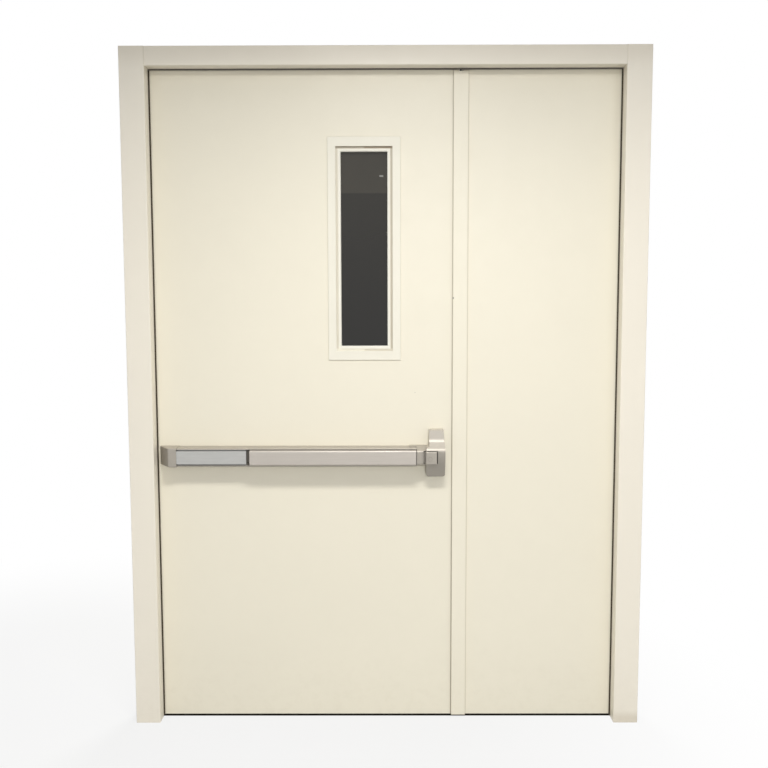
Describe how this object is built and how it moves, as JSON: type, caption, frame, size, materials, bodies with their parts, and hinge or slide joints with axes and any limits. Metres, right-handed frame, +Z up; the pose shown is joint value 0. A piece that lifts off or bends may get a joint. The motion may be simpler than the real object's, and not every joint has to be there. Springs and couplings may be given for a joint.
{
  "type": "steel utility door",
  "caption": "Unequal pair of hollow steel door leaves in a folded steel frame, with a narrow vision lite, a push-pad exit device and a cover strip.",
  "frame": {"origin": "middle of the underside of the foot plate in the jamb of the wide leaf", "axes": "+X along the wall towards the narrow leaf's jamb, +Y from the push face to the pull face, +Z up"},
  "size_m": [1.632, 0.1305, 2.147],
  "materials": {
    "frame_paint": "satin cream enamel",
    "leaf_paint": "satin cream enamel",
    "trim_paint": "satin cream enamel",
    "satin_silver": "satin silver casting and rail",
    "primed_steel": "grey primer",
    "hinge_steel": "satin",
    "brushed_stainless": "satin, brushed lengthwise",
    "satin_aluminium": "satin anodised",
    "black_rubber": "matte",
    "black_plastic": "moulded",
    "smoked_glass": "clear, dark room behind",
    "leaf_core": "bonded paper honeycomb"
  },
  "bodies": {
    "frame": {"left_jamb": "frame_paint", "right_jamb": "frame_paint", "head_frame": "frame_paint", "left_foot_plate": "primed_steel", "right_foot_plate": "primed_steel", "left_wall_ties": "primed_steel", "right_wall_ties": "primed_steel", "left_hinge_reinforcements": "primed_steel", "right_hinge_reinforcements": "primed_steel", "left_hinge_frame_halves": "hinge_steel", "right_hinge_frame_halves": "hinge_steel", "right_hinge_pins": "hinge_steel", "left_seal": "black_rubber", "right_seal": "black_rubber", "head_seal": "black_rubber", "left_hinge_pins": "hinge_steel", "inactive_push_skin": "leaf_paint", "inactive_pull_skin": "leaf_paint", "inactive_core": "leaf_core", "inactive_top_channel": "leaf_paint", "inactive_bottom_channel": "leaf_paint", "right_hinge_leaf_halves": "hinge_steel", "astragal": "leaf_paint", "astragal_packing": "leaf_paint", "flush_bolt_plates": "hinge_steel"},
    "active_leaf": {"active_push_skin": "leaf_paint", "active_pull_skin": "leaf_paint", "active_core": "leaf_core", "active_top_channel": "leaf_paint", "active_bottom_channel": "leaf_paint", "left_hinge_leaf_halves": "hinge_steel", "lite_push_trim": "trim_paint", "lite_pull_trim": "trim_paint", "lite_glass": "smoked_glass", "glazing_tape": "black_rubber", "exit_rail": "satin_silver", "exit_cover_plate": "satin_aluminium", "exit_end_cap": "satin_silver", "exit_pad_guides": "black_plastic", "exit_wing": "satin_silver", "exit_head": "satin_silver", "exit_latch_block": "satin_silver"},
    "push_pad": {"push_pad": "brushed_stainless"}
  },
  "joints": [
    {"name": "active_leaf_swing", "type": "hinge", "parent": "frame", "child": "active_leaf", "pos_m": [0.0295, 0.058, 0], "axis": [0, 0, 1], "range_deg": [0, 120]},
    {"name": "push_pad_press", "type": "slide", "parent": "active_leaf", "child": "push_pad", "axis": [0, 1, 0], "range_m": [0, 0.012], "stiffness_N_per_m": 900, "springref_m": -0.01}
  ]
}
